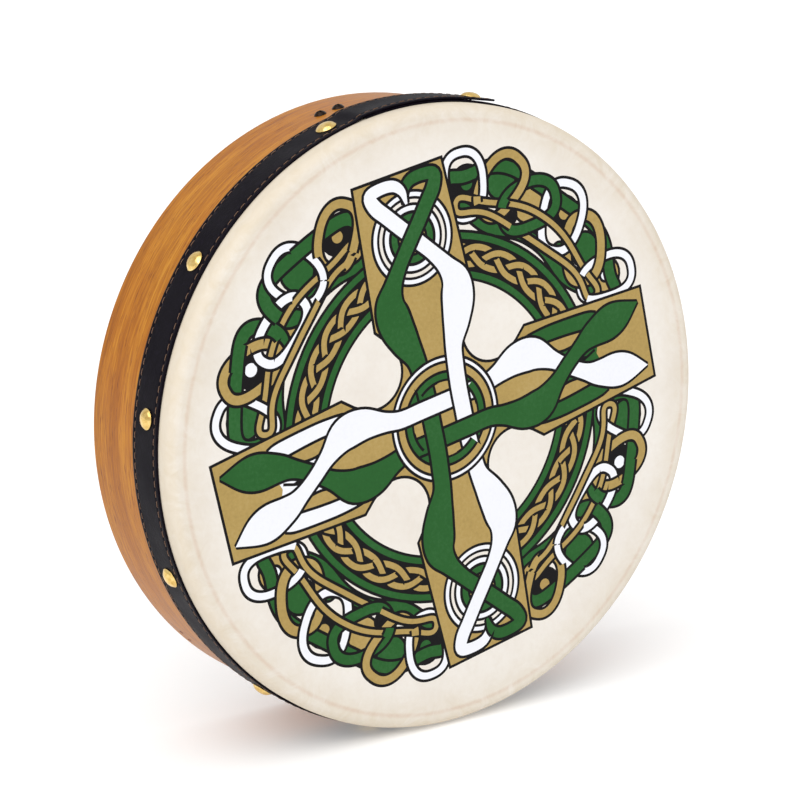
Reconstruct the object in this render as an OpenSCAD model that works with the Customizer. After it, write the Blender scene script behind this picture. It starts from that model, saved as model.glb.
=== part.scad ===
// Frame drum with one skin head, a stitched trim strip held by domed tacks, and a single hand bar.
// It stands on its rim: the head faces -Y, the open back faces +Y, and the lowest point is at z = 0.

/* [Shell] */
// Outer diameter of the bent wooden hoop
shell_d = 380; // [300:1:460]
// Depth of the hoop, from its back rim to its bearing edge
shell_depth = 94.5; // [85:0.5:130]
// Thickness of the hoop's wall
shell_t = 8.5; // [8:0.5:14]
// Rounding of the outer bearing edge, which the skin bends over
bearing_r = 6; // [2:0.5:6]
// Rounding of the hoop's other three edges
rim_r = 1.5; // [0.5:0.25:2]

/* [Head] */
// Thickness of the goatskin
skin_t = 0.7; // [0.4:0.1:1.2]
// How far the skin's cut edge stops short of the trim's back edge
skirt_margin = 3; // [1:0.5:5]

/* [Trim strip] */
// Width of the trim strip, from front edge to back edge
trim_w = 29; // [24:0.5:35]
// Distance from the head's face back to the trim's front edge
trim_inset = 13.5; // [9:0.5:15]
// Thickness of the cover's outer sheet
sheet_t = 0.8; // [0.7:0.05:1.2]
// Thickness of the backing tape inside the cover
tape_t = 0.3; // [0.3:0.05:0.8]
// Thickness of the cover's turned-under hems
hem_t = 0.4; // [0.3:0.05:0.6]
// Width of each turned-under hem
hem_w = 7; // [5:0.5:9]
// Angle where the strip's outer end is cut, seen from the front, from +X
lap_end = 77.5; // [60:0.5:78]
// Angle where the strip's inner end starts, under the lap
lap_start = 105; // [95:1:105]
// Angle that the strip takes to step up past its own start
climb = 3; // [2:0.5:4]
// Gap between the two layers of the lap
lap_gap = 0.1; // [0.05:0.05:0.5]

/* [Stitching] */
// Diameter of the sewing thread
thread_d = 0.5; // [0.4:0.05:0.55]
// Distance of each stitch row from the nearer edge of the trim
stitch_inset = 3.4; // [2:0.2:4]
// Clearance round the thread in its slot
thread_gap = 0.1; // [0.05:0.01:0.1]

/* [Tacks] */
// Diameter of the domed tack heads
tack_d = 12.8; // [8:0.2:14]
// Height of the domes
tack_h = 3; // [2:0.25:4]
// Thickness of the domes' sheet brass
tack_sheet = 0.6; // [0.4:0.1:0.8]
// Diameter of the tacks' nails
nail_d = 1.6; // [1.2:0.1:2]
// Length of the nails below the heads
nail_length = 9.5; // [8:0.5:10]
// Distance from the head's face back to the tacks' centres
tack_back = 26.5; // [24:0.5:30]
// Clearance round each nail
nail_gap = 0.05; // [0.02:0.01:0.1]

/* [Hand bar] */
// Angle of the bar's upper end, seen from the front, from +X
bar_angle = 103.75; // [90:0.25:120]
// Width of the bar, across the open back
bar_w = 28; // [20:1:40]
// Thickness of the bar, front to back
bar_t = 14; // [10:1:20]
// Rounding of the bar's long edges
bar_edge_r = 4; // [1:0.5:5]
// Distance from the hoop's back rim to the bar's centre line
bar_back = 34.8; // [20:0.2:38]
// Gap between each end of the bar and the hoop
bar_gap = 0.1; // [0.05:0.05:0.3]

/* [Bar screws] */
// Distance between the two screws at each end of the bar
screw_pitch = 12.9; // [10:0.1:16]
// Diameter of the domed screw heads
screw_head_d = 7.8; // [6:0.2:9]
// Height of the screw heads
screw_head_h = 2.4; // [2:0.1:3]
// Diameter of the screws over their threads
screw_d = 4.2; // [3:0.1:4.5]
// Length of the screws below their heads
screw_length = 32; // [25:1:40]
// Distance from one thread ridge to the next
thread_pitch = 1.6; // [1.2:0.1:2]
// Clearance round each screw
screw_gap = 0.1; // [0.05:0.05:0.2]

/* [Scarf joint] */
// Middle of the glued scarf where the hoop's ends meet, seen from the front, from +X
scarf_angle = 223.5; // [190:0.5:250]
// Diameter of the scarf's two pins
pin_d = 2.6; // [1.5:0.1:4]
// Length of the pins
pin_length = 7; // [5:0.5:7]
// How far the pins stand proud of the wood
pin_proud = 0.2; // [0.1:0.05:0.4]
// Distance from the back rim to the middle of the pair of pins
pin_back = 11; // [6:0.5:16]
// Distance between the pins round the hoop
pin_pitch = 9; // [8:0.5:20]
// Distance between the pins from back to front
pin_step = 1; // [0:0.5:8]
// Clearance round each pin
pin_gap = 0.05; // [0.02:0.01:0.1]

/* [Hidden] */
$fn = 96;
// Overrun that makes a cut pass cleanly through a face
over = 1;
shell_r = shell_d / 2;
inner_r = shell_r - shell_t;
skin_r = shell_r + skin_t;
drum_depth = shell_depth + skin_t;
trim_t = sheet_t + tape_t + hem_t;
trim_r = skin_r + trim_t;
lap_rise = trim_t + lap_gap;
lap_r = trim_r + lap_rise;
trim_front = drum_depth - trim_inset;
trim_rear = trim_front - trim_w;
// Heights of the two stitch rows
stitch_rows = [trim_front - stitch_inset, trim_rear + stitch_inset];
// Height of the tacks' centres
tack_z = drum_depth - tack_back;
// Angles of the tacks, seen from the front, from +X. Nailed by eye, so the steps are uneven,
// and none is so close to the lowest point that its head would meet the floor.
tack_angles = [22, 51, 80, 111, 145, 173, 202, 232, 257, 285, 319, 352];
screw_half_angle = asin(screw_pitch / 2 / shell_r);
pin_half_angle = asin(pin_pitch / 2 / shell_r);

// ---------- Helpers ----------

// Places a child so that its own +Z points out along the radius at an angle, at a height
module radially(angle, height) {
    rotate([0, 0, angle])
        translate([0, 0, height])
            rotate([0, 90, 0]) children();
}

// What a rounded corner leaves out of a square one. inward holds the signs that point inside.
module corner_waste(corner, inward, radius) {
    difference() {
        translate([corner.x + (inward.x > 0 ? -over : -radius), corner.y + (inward.y > 0 ? -over : -radius)])
            square(radius + over);
        translate(corner + radius * inward) circle(radius);
    }
}

// A rectangle whose corners have their own radii: low x low y, high x low y, high x high y, low x high y.
// A radius of 0 leaves a square corner.
module rounded_rectangle(low, high, radii) {
    corners = [low, [high.x, low.y], high, [low.x, high.y]];
    inwards = [[1, 1], [-1, 1], [-1, -1], [1, -1]];
    difference() {
        translate(low) square(high - low);
        for (i = [0 : 3])
            if (radii[i] > 0) corner_waste(corners[i], inwards[i], radii[i]);
    }
}

// A spherical cap on the plane z = 0
module dome(radius, height) {
    ball_r = (radius * radius + height * height) / (2 * height);
    intersection() {
        translate([0, 0, height - ball_r]) sphere(ball_r);
        cylinder(r = radius, h = height);
    }
}

// ---------- Shell ----------

// The scarf's pins, from their inner ends outwards, fattened by a gap
module pins(gap) {
    for (side = [-1, 1])
        radially(scarf_angle + side * pin_half_angle, pin_back - side * pin_step / 2)
            translate([0, 0, shell_r - pin_length])
                cylinder(r = pin_d / 2 + gap, h = pin_length + pin_proud);
}

// Straight holes for the bar screws, through the wall and into the bar's ends
module screw_holes() {
    for (end = [0, 180], side = [-1, 1])
        radially(bar_angle + end + side * screw_half_angle, bar_back)
            translate([0, 0, shell_r - screw_length - over])
                cylinder(r = screw_d / 2 + screw_gap, h = screw_length + 2 * over);
}

// Straight holes for the tacks' nails, through the trim and the skin and into the wood
module nail_holes() {
    for (angle = tack_angles)
        radially(angle, tack_z)
            translate([0, 0, tack_seat(angle) - nail_length - nail_gap])
                cylinder(r = nail_d / 2 + nail_gap, h = nail_length + lap_rise + over);
}

module shell_hoop() color("#c98a3f") {
    difference() {
        rotate_extrude()
            rounded_rectangle([inner_r, 0], [shell_r, shell_depth], [rim_r, rim_r, bearing_r, rim_r]);
        nail_holes();
        screw_holes();
        pins(pin_gap);
    }
}

module scarf_pins() color("#7c3a26") {
    pins(0);
}

// ---------- Head ----------

// Everything inside a drum of this radius and depth, down to the skin's cut edge
module head_outline(radius, depth, edge_r) {
    rounded_rectangle([0, trim_rear + skirt_margin], [radius, depth], [0, 0, edge_r, 0]);
}

module drumhead_skin() color("#efe6d8") {
    difference() {
        rotate_extrude()
            difference() {
                head_outline(skin_r, drum_depth, bearing_r + skin_t);
                translate([0, -over]) square([shell_r, over + shell_depth - bearing_r]);
                rounded_rectangle([-over, 0], [shell_r, shell_depth], [0, 0, bearing_r, 0]);
            }
        nail_holes();
    }
}

// ---------- Trim strip ----------

// True for an angle on the lap, where the strip lies on itself
function on_lap(angle) = angle > lap_end && angle < lap_start;

// Radius of the trim's outer face under a tack head
function tack_seat(angle) = on_lap(angle) ? lap_r : trim_r;

// Part of a ring, between two heights above the skin, two distances from the back rim and two angles
module arc_layer(heights, sides, angles) {
    rotate([0, 0, angles[0]])
        rotate_extrude(angle = angles[1] - angles[0])
            translate([skin_r + heights[0], sides[0]])
                square([heights[1] - heights[0], sides[1] - sides[0]]);
}

// Part of the strip's whole run, between two heights above the skin and two distances from the back rim.
// It goes once round the drum, is joined by a riser to the layer above, and runs on over its own start.
// A cut runs past both ends of the strip; the strip itself stops at them.
module strip_layer(heights, sides, riser, past = 0) {
    raised = [lap_rise, lap_rise] + heights;
    middle = (heights[0] + heights[1]) / 2;
    // The riser stands inside both layers, in from their edges
    side_inset = (sides[1] - sides[0]) * 0.1;
    angle_inset = (riser[1] - riser[0]) * 0.1;
    arc_layer(heights, sides, [riser[0], 360 + lap_start + past]);
    arc_layer([middle, lap_rise + middle],
              sides + [side_inset, -side_inset],
              riser + [angle_inset, -angle_inset]);
    arc_layer(raised, sides, [lap_end - past, riser[1] + past / 2]);
}

// Where the strip stands up to step over its own start, just past that start
cover_riser = [lap_start + climb * 0.2, lap_start + climb];
tape_riser = [lap_start + climb * 0.4, lap_start + climb * 0.6];
thread_riser = [lap_start + climb * 0.8, lap_start + climb];
slot_riser = [lap_start + climb * 0.75, lap_start + climb];
// How far a cut runs past the ends of the strip: less than the way from its start to its riser
cut_past = climb * 0.1;

// The space for the tape, between the outer sheet and the hems and a sheet's thickness in from each edge
module tape_space(past) {
    strip_layer([hem_t, hem_t + tape_t], [trim_rear + sheet_t, trim_front - sheet_t], tape_riser, past);
}

module trim_cover() color("#1d1b20") {
    // Cuts that reach out of the strip stop within the lap's gap, clear of its other layer
    reach = lap_gap / 2;
    slot_half = thread_d / 2 + thread_gap;
    slot_heights = [trim_t - thread_d - thread_gap, trim_t + reach];
    window = [trim_rear + hem_w, trim_front - hem_w];
    window_heights = [-reach, hem_t + tape_t / 2];
    difference() {
        strip_layer([0, trim_t], [trim_rear, trim_front], cover_riser);
        tape_space(cut_past);
        arc_layer(window_heights, window, [cover_riser[1], 360 + lap_start + cut_past]);
        arc_layer([lap_rise, lap_rise] + window_heights, window, [lap_end - cut_past, lap_start]);
        for (row = stitch_rows)
            strip_layer(slot_heights, [row - slot_half, row + slot_half], slot_riser, cut_past);
        nail_holes();
    }
}

module trim_backing_tape() color("#5a5348") {
    difference() {
        tape_space(0);
        nail_holes();
    }
}

// A row's thread lies in its slot, just below the cover's face
module stitch_thread(row) {
    top = trim_t - thread_gap / 2;
    strip_layer([top - thread_d, top], [row - thread_d / 2, row + thread_d / 2], thread_riser);
}

module front_stitching() color("#8a6242") {
    stitch_thread(stitch_rows[0]);
}

module back_stitching() color("#8a6242") {
    stitch_thread(stitch_rows[1]);
}

// ---------- Tacks ----------

// A pressed hollow dome on a pointed nail, with its rim on the plane z = 0
module dome_tack() {
    rim_h = 0.4;
    point_h = 2;
    difference() {
        union() {
            dome(tack_d / 2, tack_h);
            cylinder(r = tack_d / 2, h = rim_h);
        }
        translate([0, 0, -over]) cylinder(r = tack_d / 2 - tack_sheet, h = over + rim_h / 2);
        dome(tack_d / 2 - tack_sheet, tack_h - tack_sheet);
    }
    translate([0, 0, point_h - nail_length])
        cylinder(r = nail_d / 2, h = nail_length - point_h + tack_h - tack_sheet / 2);
    translate([0, 0, -nail_length])
        cylinder(r1 = 0.1, r2 = nail_d / 2, h = point_h);
}

module dome_tacks() color("#c9a13b") {
    for (angle = tack_angles)
        radially(angle, tack_z) translate([0, 0, tack_seat(angle)]) dome_tack();
}

// ---------- Hand bar ----------

module hand_bar() color("#b9803f") {
    half = [bar_w, bar_t] / 2;
    difference() {
        intersection() {
            translate([0, 0, bar_back])
                rotate([90, 0, bar_angle + 90])
                    linear_extrude(shell_d, center = true)
                        rounded_rectangle(-half, half, [for (i = [0 : 3]) bar_edge_r]);
            cylinder(r = inner_r - bar_gap, h = shell_depth);
        }
        screw_holes();
    }
}

// A wood screw with a cross-slotted domed head on z = 0, a plain shank and ridges for its thread
module bar_screw() {
    outer = screw_d / 2;
    root = outer * 0.7;
    plain = shell_t + 2;
    tip_h = 4;
    ridges = floor((screw_length - plain - tip_h) / thread_pitch);
    slot = [screw_head_d * 0.55, screw_head_d * 0.13];
    slot_depth = screw_head_h * 0.6;
    difference() {
        dome(screw_head_d / 2, screw_head_h);
        for (turn = [0, 90])
            rotate([0, 0, turn])
                translate([-slot.x / 2, -slot.y / 2, screw_head_h - slot_depth])
                    cube([slot.x, slot.y, slot_depth + over]);
    }
    rotate_extrude()
        polygon([
            [0, 0.2],
            [outer, 0.2],
            [outer, -plain],
            for (i = [0 : ridges - 1], step = [[root, 0.2], [root, 0.6], [outer, 0.8]])
                [step[0], -plain - (i + step[1]) * thread_pitch],
            [root, -plain - ridges * thread_pitch],
            [0, -screw_length]
        ]);
}

module bar_screws() color("#2b2522") {
    for (end = [0, 180], side = [-1, 1])
        radially(bar_angle + end + side * screw_half_angle, bar_back)
            translate([0, 0, shell_r]) bar_screw();
}

// Stands the drum up: the front goes to -Y, and the trim's lowest point goes to z = 0
module stand_up() {
    translate([0, drum_depth / 2, trim_r]) rotate([90, 0, 0]) children();
}

stand_up() shell_hoop();
stand_up() scarf_pins();
stand_up() drumhead_skin();
stand_up() trim_cover();
stand_up() trim_backing_tape();
stand_up() front_stitching();
stand_up() back_stitching();
stand_up() dome_tacks();
stand_up() hand_bar();
stand_up() bar_screws();
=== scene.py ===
"""Looks for a frame drum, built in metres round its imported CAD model.

The drum stands on its rim: the head faces -Y, the open back faces +Y, and angles run
anticlockwise from +X as seen from the front.
"""
import math
import random

import bmesh
import bpy
import numpy as np
from mathutils import Matrix, Vector
from mathutils.geometry import delaunay_2d_cdt


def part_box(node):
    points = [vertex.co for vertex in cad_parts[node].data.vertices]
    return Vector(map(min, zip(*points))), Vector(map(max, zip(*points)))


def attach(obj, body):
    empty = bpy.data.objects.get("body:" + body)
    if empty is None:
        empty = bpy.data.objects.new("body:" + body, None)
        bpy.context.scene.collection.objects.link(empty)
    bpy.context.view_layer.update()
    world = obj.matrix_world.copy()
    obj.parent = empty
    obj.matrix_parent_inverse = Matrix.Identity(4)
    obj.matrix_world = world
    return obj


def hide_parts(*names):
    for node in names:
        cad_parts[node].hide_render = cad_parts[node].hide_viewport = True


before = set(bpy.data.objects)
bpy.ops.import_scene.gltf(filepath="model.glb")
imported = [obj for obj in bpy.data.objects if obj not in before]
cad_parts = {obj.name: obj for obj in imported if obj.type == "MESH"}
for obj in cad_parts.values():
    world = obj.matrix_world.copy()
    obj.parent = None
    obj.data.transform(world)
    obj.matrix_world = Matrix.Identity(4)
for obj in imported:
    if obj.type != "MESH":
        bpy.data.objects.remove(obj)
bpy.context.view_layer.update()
BODY = "root"

# ---------- Sizes from the frame ----------

hoop_low, hoop_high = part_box("shell_hoop")
skin_low, skin_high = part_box("drumhead_skin")
trim_low, trim_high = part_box("trim_cover")
tape_low, tape_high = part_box("trim_backing_tape")
front_row_low, front_row_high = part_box("front_stitching")
back_row_low, back_row_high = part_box("back_stitching")
tack_low, tack_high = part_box("dome_tacks")

CENTRE_Z = (hoop_low[2] + hoop_high[2]) / 2
SHELL_R = (hoop_high[0] - hoop_low[0]) / 2
SKIN_R = (skin_high[0] - skin_low[0]) / 2
HEAD_Y = skin_low[1]
SKIN_T = SKIN_R - SHELL_R
SKIRT_END_Y = skin_high[1]
TRIM_R = -trim_low[0]
TRIM_T = TRIM_R - SKIN_R
TRIM_FRONT_Y = trim_low[1]
TRIM_W = trim_high[1] - trim_low[1]
LAP_RISE = trim_high[2] - CENTRE_Z - TRIM_R
SHEET_T = TRIM_R + tape_low[0]
TAPE_EDGE = tape_low[1] - TRIM_FRONT_Y
ROW_OFFSETS = [(row[0][1] + row[1][1]) / 2 - TRIM_FRONT_Y
               for row in ((front_row_low, front_row_high), (back_row_low, back_row_high))]
TACK_Y = (tack_low[1] + tack_high[1]) / 2
TACK_R = (tack_high[1] - tack_low[1]) / 2

# Where the trim strip laps over its own start, seen from the front
LAP_START = math.radians(105)
LAP_END = math.radians(77.5)
CLIMB = math.radians(3)
# The middle of the hoop's glued scarf, and the upper end of the hand bar
SCARF_ANGLE = math.radians(223.5)
BAR_ANGLE = math.radians(103.75)
# The round of the hoop's front edge and the hoop's thickness, as in the CAD source
EDGE_ROUND = 0.006
HOOP_T = 0.0085
BEARING_R = EDGE_ROUND + SKIN_T
# The line where the skin leaves the hoop's inner edge
INNER_R = SHELL_R - HOOP_T
TACK_GAP_DEGREES = 2


def around(angle, radius, y):
    """The point at an angle, a distance from the drum's axis and a depth."""
    return (radius * math.cos(angle), y, CENTRE_Z + radius * math.sin(angle))


def tack_places():
    """The angle and the dome height above the axis of each CAD tack."""
    points = np.array([v.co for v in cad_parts["dome_tacks"].data.vertices])
    angles = np.degrees(np.arctan2(points[:, 2] - CENTRE_Z, points[:, 0])) % 360
    radii = np.hypot(points[:, 2] - CENTRE_Z, points[:, 0])
    order = np.argsort(angles)
    cuts = np.flatnonzero(np.diff(angles[order]) > TACK_GAP_DEGREES) + 1
    return [(math.radians((angles[group].min() + angles[group].max()) / 2), radii[group].max())
            for group in np.split(order, cuts)]


# ---------- Mesh and node helpers ----------

def mesh_object(name, verts, faces, materials, slots=None, smooth=True):
    """A mesh piece that rides on the drum's one body."""
    mesh = bpy.data.meshes.new(name)
    mesh.from_pydata([tuple(v) for v in verts], [], [tuple(f) for f in faces])
    for material in materials:
        mesh.materials.append(material)
    if slots is not None:
        mesh.polygons.foreach_set("material_index", slots)
    mesh.polygons.foreach_set("use_smooth", [smooth] * len(mesh.polygons))
    mesh.validate()
    piece = bpy.data.objects.new(name, mesh)
    bpy.context.scene.collection.objects.link(piece)
    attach(piece, BODY)
    return piece


def tube_faces(rings, sides, start=0, closed_ends=True):
    """Faces of a tube whose rings of vertices follow each other from start."""
    faces = []
    for i in range(rings - 1):
        for j in range(sides):
            a = start + i * sides + j
            b = start + i * sides + (j + 1) % sides
            faces.append((a, b, b + sides, a + sides))
    if closed_ends:
        faces.append(tuple(start + j for j in reversed(range(sides))))
        faces.append(tuple(start + (rings - 1) * sides + j for j in range(sides)))
    return faces


def new_material(name, **inputs):
    """A principled material. Its plain numbers and colours are set on the shader's own sockets."""
    material = bpy.data.materials.new(name)
    material.use_nodes = True
    tree = material.node_tree
    tree.nodes.clear()
    output = tree.nodes.new("ShaderNodeOutputMaterial")
    shader = tree.nodes.new("ShaderNodeBsdfPrincipled")
    tree.links.new(shader.outputs["BSDF"], output.inputs["Surface"])
    for socket, value in inputs.items():
        shader.inputs[socket.replace("_", " ")].default_value = value
    return material, tree, shader


def put(tree, kind, inputs, **settings):
    """Adds a node. A socket among the inputs is linked, and any other value is set."""
    made = tree.nodes.new("ShaderNode" + kind)
    for key, value in settings.items():
        setattr(made, key, value)
    for key, value in inputs.items():
        if isinstance(value, bpy.types.NodeSocket):
            tree.links.new(value, made.inputs[key])
        else:
            made.inputs[key].default_value = value
    return made


def maths(tree, operation, *values):
    return put(tree, "Math", dict(enumerate(values)), operation=operation).outputs[0]


def place_vector(tree):
    return tree.nodes.new("ShaderNodeTexCoord").outputs["Object"]


def noise(tree, vector, scale, detail=3.0, roughness=0.5, distortion=0.0):
    inputs = {"Vector": vector, "Scale": scale, "Detail": detail,
              "Roughness": roughness, "Distortion": distortion}
    return put(tree, "TexNoise", inputs).outputs["Fac"]


def ramp(tree, factor, stops):
    """A colour ramp with (position, colour) stops, where a colour is sRGB 0 to 255."""
    made = put(tree, "ValToRGB", {"Fac": factor})
    elements = made.color_ramp.elements
    while len(elements) < len(stops):
        elements.new(0.5)
    for element, (position, colour) in zip(elements, stops):
        element.position = position
        element.color = srgb(*colour)
    return made.outputs["Color"]


def span(tree, value, low, high, to_low=0.0, to_high=1.0):
    """Maps a value's range onto another, clamped."""
    inputs = {"Value": value, "From Min": low, "From Max": high, "To Min": to_low, "To Max": to_high}
    return put(tree, "MapRange", inputs).outputs["Result"]


def blend_colours(tree, factor, first, second, how="MIX"):
    made = put(tree, "Mix", {}, data_type="RGBA", blend_type=how)
    for index, value in ((0, factor), (6, first), (7, second)):
        if isinstance(value, bpy.types.NodeSocket):
            tree.links.new(value, made.inputs[index])
        else:
            made.inputs[index].default_value = value
    return made.outputs[2]


def bump(tree, height, strength, distance, shader):
    made = put(tree, "Bump", {"Height": height, "Strength": strength, "Distance": distance})
    tree.links.new(made.outputs["Normal"], shader.inputs["Normal"])


def srgb(red, green, blue):
    """A linear colour from sRGB values of 0 to 255."""
    def linear(value):
        value = value / 255
        return value / 12.92 if value <= 0.04045 else ((value + 0.055) / 1.055) ** 2.4
    return (linear(red), linear(green), linear(blue), 1.0)


# ---------- Materials ----------

def stretched(tree, along, across, depth, lengths):
    """A texture vector measured in grain lengths: along the grain, across it and into the wood."""
    parts = [maths(tree, "DIVIDE", value, length)
             for value, length in zip((along, across, depth), lengths)]
    return put(tree, "CombineXYZ", dict(enumerate(parts))).outputs[0]


def wood_finish(tree, shader, along, across, depth, tones):
    """Fine straight grain, soft growth bands and pores under a satin varnish."""
    bands = noise(tree, stretched(tree, along, across, depth, (0.22, 0.011, 0.011)), 1.0, 4.0, 0.55, 0.3)
    fibres = noise(tree, stretched(tree, along, across, depth, (0.022, 0.0012, 0.0012)), 1.0, 3.0, 0.6)
    pores = noise(tree, stretched(tree, along, across, depth, (0.009, 0.0008, 0.0008)), 1.0, 2.0, 0.5)
    cloud = noise(tree, stretched(tree, along, across, depth, (0.09, 0.05, 0.05)), 1.0, 2.0)
    mixed = maths(tree, "MULTIPLY_ADD", bands, 0.42, maths(tree, "MULTIPLY", fibres, 0.58))
    colour = ramp(tree, mixed, [(0.36, tones[0]), (0.50, tones[1]), (0.64, tones[2])])
    stain = span(tree, cloud, 0.35, 0.7, 0.0, 0.5)
    colour = blend_colours(tree, stain, colour, srgb(*tones[3]), "MULTIPLY")
    dark_pores = span(tree, pores, 0.58, 0.72, 0.0, 0.7)
    colour = blend_colours(tree, dark_pores, colour, srgb(*tones[4]), "MULTIPLY")
    tree.links.new(span(tree, fibres, 0.3, 0.7, 0.30, 0.42), shader.inputs["Roughness"])
    bump(tree, maths(tree, "SUBTRACT", fibres, dark_pores), 0.25, 0.0002, shader)
    return colour


# Grain dark, middle and light, then the tints of stains and pores
AMBER = [(146, 84, 10), (170, 106, 18), (192, 131, 38), (240, 212, 150), (156, 106, 54)]
VARNISH = {"Specular_IOR_Level": 0.12, "Coat_Weight": 0.05, "Coat_Roughness": 0.3}
# Turn of the scarf's glue line for each metre towards the back, in radians
SCARF_SLANT = 1.5


def turned_parts(tree, vector, angle):
    """The parts of a vector turned about the drum's axis."""
    inputs = {"Vector": vector, "Axis": (0, 1, 0), "Angle": angle}
    turned = put(tree, "VectorRotate", inputs, rotation_type="AXIS_ANGLE")
    return put(tree, "SeparateXYZ", {0: turned.outputs[0]}).outputs


def hoop_wood():
    """Wood whose grain runs round the hoop and breaks at the slanting scarf, with a thin glue line."""
    material, tree, shader = new_material("hoop_wood", **VARNISH)
    centred = put(tree, "VectorMath", {0: place_vector(tree), 1: (0, 0, CENTRE_Z)},
                  operation="SUBTRACT")
    x, y, z = turned_parts(tree, centred.outputs[0], SCARF_ANGLE)
    angle = maths(tree, "ARCTAN2", z, x)
    radius = maths(tree, "SQRT", maths(tree, "MULTIPLY_ADD", x, x, maths(tree, "MULTIPLY", z, z)))
    slanted = maths(tree, "MULTIPLY_ADD", y, SCARF_SLANT, angle)
    round_trip = maths(tree, "WRAP", slanted, math.tau, 0.0)
    along = maths(tree, "MULTIPLY", round_trip, SHELL_R)
    colour = wood_finish(tree, shader, along, y, radius, AMBER)
    from_line = maths(tree, "MINIMUM", round_trip, maths(tree, "SUBTRACT", math.tau, round_trip))
    line = span(tree, from_line, 0.0008, 0.0022, 0.75, 0.0)
    colour = blend_colours(tree, line, colour, srgb(92, 52, 26))
    tree.links.new(colour, shader.inputs["Base Color"])
    return material


def bar_wood():
    """The same timber, with its grain along the hand bar."""
    material, tree, shader = new_material("bar_wood", **VARNISH)
    along, y, across = turned_parts(tree, place_vector(tree), BAR_ANGLE)
    colour = wood_finish(tree, shader, along, y, across, AMBER)
    tree.links.new(colour, shader.inputs["Base Color"])
    return material


def radial_distance(tree):
    """Distance from the drum's axis."""
    centred = put(tree, "VectorMath", {0: place_vector(tree), 1: (0, 0, CENTRE_Z)},
                  operation="SUBTRACT")
    flat = put(tree, "VectorMath", {0: centred.outputs[0], 1: (1, 0, 1)}, operation="MULTIPLY")
    return put(tree, "VectorMath", {0: flat.outputs[0]}, operation="LENGTH").outputs["Value"]


def goatskin():
    """Pale skin with soft clouds, faint veins, a beige rim, and a darker line along the hoop's inner edge
    that is partly painted shade of that edge seen through the skin and partly the skin's own discolouring.
    """
    material, tree, shader = new_material("goatskin", Roughness=0.6, Specular_IOR_Level=0.25)
    place = place_vector(tree)
    cloud = noise(tree, place, 22.0, 4.0, 0.6)
    fine = noise(tree, place, 260.0, 3.0, 0.6)
    streaks = noise(tree, place, 60.0, 5.0, 0.7, 1.5)
    tones = [(0.30, (218, 211, 202)), (0.50, (223, 217, 209)), (0.72, (226, 221, 214))]
    colour = ramp(tree, cloud, tones)
    distance = radial_distance(tree)
    rim = span(tree, distance, 0.86 * SKIN_R, 0.985 * SKIN_R)
    rim_mottled = maths(tree, "MULTIPLY", rim, span(tree, streaks, 0.3, 0.7, 0.2, 1.0))
    colour = blend_colours(tree, rim_mottled, colour, srgb(208, 196, 176))
    # Painted shade: a darker line along the hoop's inner edge stands for that edge's shadow seen through
    # the skin, mixed with the skin's own discolouring there.
    from_inner_edge = maths(tree, "ABSOLUTE", maths(tree, "SUBTRACT", distance, INNER_R))
    inner_edge_shade_and_stain = span(tree, from_inner_edge, 0.002 * SKIN_R, 0.010 * SKIN_R, 0.42, 0.0)
    inner_edge_shade_and_stain = maths(tree, "MULTIPLY", inner_edge_shade_and_stain, span(tree, streaks, 0.35, 0.65, 0.35, 1.0))
    colour = blend_colours(tree, inner_edge_shade_and_stain, colour, srgb(196, 164, 140))
    edge = span(tree, distance, 0.975 * SKIN_R, SKIN_R, 0.0, 0.5)
    colour = blend_colours(tree, edge, colour, srgb(208, 194, 170))
    colour = blend_colours(tree, span(tree, fine, 0.4, 0.75, 0.0, 0.18), colour, srgb(206, 194, 178))
    tree.links.new(colour, shader.inputs["Base Color"])
    height = maths(tree, "MULTIPLY_ADD", cloud, 0.6, maths(tree, "MULTIPLY", fine, 0.4))
    bump(tree, height, 0.25, 0.0006, shader)
    return material


def ink(name, colour, roughness, mottle):
    """Printed colour, slightly uneven where the skin's grain shows through."""
    material, tree, shader = new_material(name, Specular_IOR_Level=0.1)
    place = place_vector(tree)
    grain = noise(tree, place, 420.0, 3.0, 0.65)
    cloud = noise(tree, place, 30.0, 3.0, 0.5)
    lighter = tuple(c + (255 - c) * mottle for c in colour)
    darker = tuple(c * (1 - mottle) for c in colour)
    mixed = maths(tree, "MULTIPLY_ADD", grain, 0.6, maths(tree, "MULTIPLY", cloud, 0.4))
    tone = ramp(tree, mixed, [(0.32, darker), (0.5, colour), (0.68, lighter)])
    tree.links.new(tone, shader.inputs["Base Color"])
    uneven = span(tree, grain, 0.3, 0.7, roughness - 0.06, roughness + 0.06)
    tree.links.new(uneven, shader.inputs["Roughness"])
    bump(tree, grain, 0.15, 0.0003, shader)
    return material


def leatherette():
    """Near-black pebbled and creased cover with a satin face, its tone faintly uneven."""
    material, tree, shader = new_material("leatherette", Specular_IOR_Level=0.04)
    place = place_vector(tree)
    pebbles = put(tree, "TexVoronoi", {"Vector": place, "Scale": 1100.0}).outputs["Distance"]
    creases = noise(tree, place, 330.0, 4.0, 0.6)
    cloud = noise(tree, place, 40.0, 3.0)
    colour = ramp(tree, creases, [(0.3, (8, 5, 12)), (0.55, (13, 9, 18)), (0.8, (23, 18, 30))])
    tree.links.new(colour, shader.inputs["Base Color"])
    tree.links.new(span(tree, cloud, 0.3, 0.7, 0.38, 0.52), shader.inputs["Roughness"])
    height = maths(tree, "MULTIPLY_ADD", pebbles, 0.5, maths(tree, "MULTIPLY", creases, 0.5))
    bump(tree, height, 0.45, 0.0003, shader)
    return material


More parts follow.
